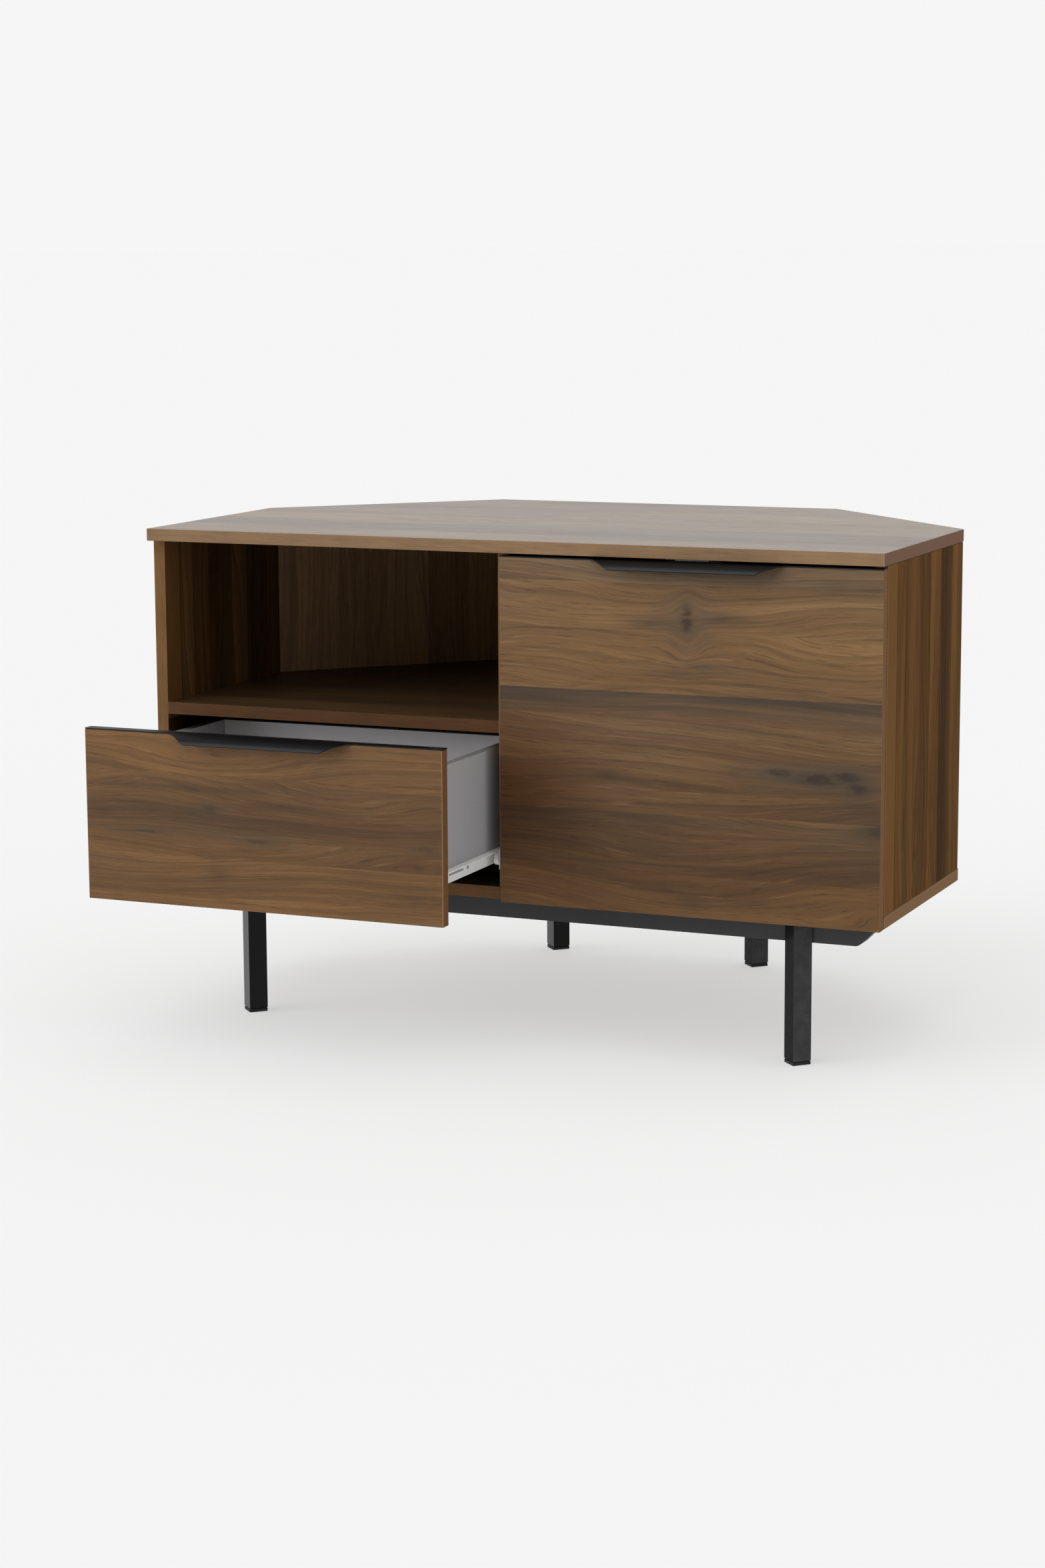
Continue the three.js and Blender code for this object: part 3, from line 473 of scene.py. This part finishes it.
def finish_mesh(o, width, angle=35):
    w = o.modifiers.new("weld", "WELD")
    w.merge_threshold = 0.00002
    b = o.modifiers.new("bevel", "BEVEL")
    b.width = width
    b.segments = 3
    b.limit_method = "ANGLE"
    b.angle_limit = math.radians(angle)
    b.use_clamp_overlap = True
    b.miter_outer = "MITER_ARC"
    n = o.modifiers.new("normals", "WEIGHTED_NORMAL")
    n.weight = 50
    for p in o.data.polygons:
        p.use_smooth = True


for n, o in N.items():
    o.data.materials.clear()
    o.data.materials.append(MATS[n])
    width = 0.0006
    for k, v in BEVEL.items():
        if n.startswith(k):
            width = v
            break
    finish_mesh(o, width)


# ---------------------------------------------------------------- new pieces
def mesh_object(name, bm, mat, body):
    me = bpy.data.meshes.new(name)
    bm.normal_update()
    bm.to_mesh(me)
    bm.free()
    o = bpy.data.objects.new(name, me)
    scene.collection.objects.link(o)
    me.materials.append(mat)
    for p in me.polygons:
        p.use_smooth = True
    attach(o, body)
    return o


def tab_drop(y):
    """Height of the pull tab's upper surface, y (m) in front of the strip (negative), relative to the strip."""
    pts = [(0.0, 0.0), (-0.004, -0.0004), (-0.010, -0.0016), (-0.016, -0.0034), (-0.0195, -0.0049), (-0.0224, -0.0065), (-0.0245, -0.0082), (-0.026, -0.0100)]
    if y >= 0:
        return 0.0
    for (y0, z0), (y1, z1) in zip(pts, pts[1:]):
        if y >= y1:
            f = (y - y0) / (y1 - y0)
            return z0 + (z1 - z0) * f
    return pts[-1][1]


def pull(name, node, body):
    """Bent sheet pull: a strip over the board's top edge whose middle runs out into a tab."""
    lo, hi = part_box(node)
    c = (lo.x + hi.x) / 2
    back, front_y = hi.y, hi.y - 0.016
    top = hi.z
    t = 0.0015
    half, tip, out = 0.1285, 0.095, 0.0258
    xs = set()
    for i in range(61):
        xs.add(round(-half + 2 * half * i / 60, 6))
    for i in range(13):
        xs.add(round(-half + (half - tip) * i / 12, 6))
        xs.add(round(half - (half - tip) * i / 12, 6))
    for e in (-1, 1):
        xs.add(round(e * (half + 0.001), 6)); xs.add(round(e * (half + 0.004), 6))
    w = (hi.x - lo.x) / 2
    for i in range(9):
        xs.add(round(-w + (w - half - 0.004) * i / 8, 6))
        xs.add(round(w - (w - half - 0.004) * i / 8, 6))
    xs = sorted(xs)

    def reach(x):
        a = abs(x)
        if a >= half:
            return 0.0
        f = min(1.0, (half - a) / (half - tip))
        # rounded where the slope starts and ends
        f = f - 0.035 * math.sin(2 * math.pi * f) if 0 < f < 1 else f
        return out * f
    bm = bmesh.new()
    rows = []
    ts = [0, 0.08, 0.2, 0.32, 0.44, 0.56, 0.66, 0.74, 0.80, 0.85, 0.89, 0.93, 0.96, 0.98, 1.0]
    for x in xs:
        L = reach(x)
        row = [bm.verts.new((c + x, back, top)), bm.verts.new((c + x, back - 0.008, top)), bm.verts.new((c + x, front_y + 0.0009, top))]
        for s in ts:
            y = -L * s
            row.append(bm.verts.new((c + x, front_y + y, top + tab_drop(y) - 0.00001 * s)))
        rows.append(row)
    for a, b in zip(rows, rows[1:]):
        for i in range(len(a) - 1):
            bm.faces.new((a[i], b[i], b[i + 1], a[i + 1]))
    bmesh.ops.remove_doubles(bm, verts=bm.verts, dist=0.000004)
    bmesh.ops.dissolve_degenerate(bm, edges=bm.edges, dist=0.000002)
    bmesh.ops.recalc_face_normals(bm, faces=bm.faces)
    if sum(f.normal.z for f in bm.faces) < 0:
        bmesh.ops.reverse_faces(bm, faces=bm.faces)
    o = mesh_object(name, bm, M_PULL, body)
    s = o.modifiers.new("thickness", "SOLIDIFY")
    s.thickness = t
    s.offset = -1
    b = o.modifiers.new("bevel", "BEVEL")
    b.width = 0.0005
    b.segments = 3
    b.limit_method = "ANGLE"
    b.angle_limit = math.radians(50)
    n = o.modifiers.new("normals", "WEIGHTED_NORMAL")
    n.weight = 50
    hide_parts(node)
    return o


pull("drawer_pull", "drawer_handle", "drawer")
pull("flap_pull", "door_handle", "flap")


def screw(name, pos, axis, body, r=0.0036, h=0.0016, mat=None):
    """Pan-head screw with a cross recess; axis points out of the head."""
    bm = bmesh.new()
    seg = 24
    prof = [(0.0, h), (r * 0.35, h * 0.98), (r * 0.65, h * 0.86), (r * 0.88, h * 0.58), (r, h * 0.2), (r, 0.0), (r * 0.5, -0.0008), (0.0, -0.0008)]
    rings = []
    for rr, zz in prof:
        if rr == 0:
            rings.append([bm.verts.new((0, 0, zz))])
        else:
            rings.append([bm.verts.new((rr * math.cos(2 * math.pi * i / seg), rr * math.sin(2 * math.pi * i / seg), zz)) for i in range(seg)])
    for a, b in zip(rings, rings[1:]):
        for i in range(seg):
            j = (i + 1) % seg
            if len(a) == 1:
                bm.faces.new((a[0], b[i], b[j]))
            elif len(b) == 1:
                bm.faces.new((a[i], b[0], a[j]))
            else:
                bm.faces.new((a[i], b[i], b[j], a[j]))
    # cross recess: push the middle in where it lies on either arm
    bmesh.ops.subdivide_edges(bm, edges=[e for e in bm.edges if max(v.co.xy.length for v in e.verts) < r * 0.7], cuts=2, use_grid_fill=True)
    for v in bm.verts:
        if v.co.z > h * 0.5 and v.co.xy.length < r * 0.6 and (abs(v.co.x) < r * 0.14 or abs(v.co.y) < r * 0.14):
            v.co.z -= h * 0.7
    bmesh.ops.recalc_face_normals(bm, faces=bm.faces)
    q = Vector((0, 0, 1)).rotation_difference(Vector(axis))
    bm.transform(Matrix.Translation(Vector(pos)) @ q.to_matrix().to_4x4())
    o = mesh_object(name, bm, mat or M_NICKEL, body)
    return o


for side, s in (("left", -1), ("right", 1)):
    mx = lambda x: x if s > 0 else -0.492 - x
    for i, y in enumerate((0.062, 0.190)):
        screw(f"slide_screw_{side}_{i}", (mx(-0.0095), YS + y, 0.2375), (-s, 0, 0), "cabinet", r=0.0034)
    screw(f"slide_screw_drawer_{side}", (mx(-0.0190), YS - OPEN + 0.1123, 0.2401), (s, 0, 0), "drawer", r=0.0030, h=0.0012)
for side, x in (("left", 0.086), ("right", 0.415)):
    for e in (-1, 1):
        screw(f"hinge_screw_arm_{side}_{e + 1}", (x + e * 0.0086, YS + 0.050, 0.2044), (0, 0, 1), "cabinet", r=0.0032, h=0.0014)
        screw(f"hinge_screw_cup_{side}_{e + 1}", (x + e * 0.0215, YS + 0.0173, 0.2065), (0, 1, 0), "flap", r=0.0032, h=0.0012)

# ---------------------------------------------------------------- floor, light, camera
FLOOR_OWN = 0.523       # part of the floor's brightness that shadows don't take away
FLOOR_ALBEDO = 0.32


def stage_floor():
    bm = bmesh.new()
    bmesh.ops.create_grid(bm, x_segments=1, y_segments=1, size=400.0)
    me = bpy.data.meshes.new("floor")
    bm.to_mesh(me)
    bm.free()
    o = bpy.data.objects.new("floor", me)
    o.location = (0, 0, -0.0004)
    scene.collection.objects.link(o)
    m = bpy.data.materials.new("floor")
    m.use_nodes = True
    b = m.node_tree.nodes["Principled BSDF"]
    b.inputs["Base Color"].default_value = (FLOOR_ALBEDO, FLOOR_ALBEDO, FLOOR_ALBEDO, 1)
    b.inputs["Roughness"].default_value = 1.0
    b.inputs["Specular IOR Level"].default_value = 0.0
    b.inputs["Emission Color"].default_value = (1, 1, 1, 1)
    b.inputs["Emission Strength"].default_value = FLOOR_OWN
    me.materials.append(m)


stage_floor()


def sun(name, azimuth, elevation, strength, angle):
    """azimuth in degrees from straight in front of the cabinet, + towards its right side."""
    l = bpy.data.lights.new(name, "SUN")
    l.energy = strength
    l.angle = math.radians(angle)
    o = bpy.data.objects.new(name, l)
    az, el = math.radians(azimuth), math.radians(elevation)
    d = Vector((math.sin(az) * math.cos(el), -math.cos(az) * math.cos(el), math.sin(el)))
    o.rotation_euler = d.to_track_quat("Z", "Y").to_euler()
    scene.collection.objects.link(o)


sun("key", -52, 14, 2.0, 46)
sun("front", -8, 42, 0.4, 40)
sun("fill", 62, 14, 0.45, 60)
sun("top", 10, 82, 1.2, 70)

world = bpy.data.worlds.new("studio")
scene.world = world
world.use_nodes = True
wt = world.node_tree
wt.nodes.clear()
w_out = wt.nodes.new("ShaderNodeOutputWorld")
w_tc = wt.nodes.new("ShaderNodeTexCoord")
w_xyz = wt.nodes.new("ShaderNodeSeparateXYZ")
wt.links.new(w_tc.outputs["Generated"], w_xyz.inputs[0])
w_y = wt.nodes.new("ShaderNodeMapRange")
w_y.interpolation_type = "SMOOTHSTEP"
for i, val in enumerate((-0.45, 0.55, 0.27, 0.90)):
    w_y.inputs[i + 1].default_value = val
wt.links.new(w_xyz.outputs[1], w_y.inputs[0])
w_lit = wt.nodes.new("ShaderNodeBackground")
wt.links.new(w_y.outputs[0], w_lit.inputs["Strength"])
w_lit.inputs["Color"].default_value = (1, 1, 1, 1)
w_seen = wt.nodes.new("ShaderNodeBackground")
w_seen.inputs["Color"].default_value = (1, 1, 1, 1)
w_seen.inputs["Strength"].default_value = 0.922
w_path = wt.nodes.new("ShaderNodeLightPath")
w_mix = wt.nodes.new("ShaderNodeMixShader")
wt.links.new(w_path.outputs["Is Camera Ray"], w_mix.inputs[0])
wt.links.new(w_lit.outputs[0], w_mix.inputs[1])
wt.links.new(w_seen.outputs[0], w_mix.inputs[2])
wt.links.new(w_mix.outputs[0], w_out.inputs["Surface"])

scene.view_settings.view_transform = "Standard"
scene.view_settings.look = "None"
scene.view_settings.exposure = 0.0

CAM = dict(Cx=1.60899, Cy=-3.68875, Cz=1.01389, yaw=23.15, pitch=9.54, roll=-0.30, f=4858.32)


def camera():
    cam = bpy.data.cameras.new("camera")
    o = bpy.data.objects.new("camera", cam)
    scene.collection.objects.link(o)
    yaw, p, r = (math.radians(CAM[k]) for k in ("yaw", "pitch", "roll"))
    fw = Vector((-math.sin(yaw) * math.cos(p), math.cos(yaw) * math.cos(p), -math.sin(p)))
    rt = Vector((math.cos(yaw), math.sin(yaw), 0))
    up = rt.cross(fw)
    rt2 = rt * math.cos(r) + up * math.sin(r)
    up2 = -rt * math.sin(r) + up * math.cos(r)
    m = Matrix((rt2, up2, -fw)).transposed().to_4x4()
    m.translation = Vector((CAM["Cx"], CAM["Cy"] + YS, CAM["Cz"]))
    o.matrix_world = m
    cam.sensor_fit = "AUTO"
    cam.sensor_width = 36.0
    cam.lens = CAM["f"] * 36.0 / 2352.0
    cam.clip_end = 1000
    scene.camera = o


camera()
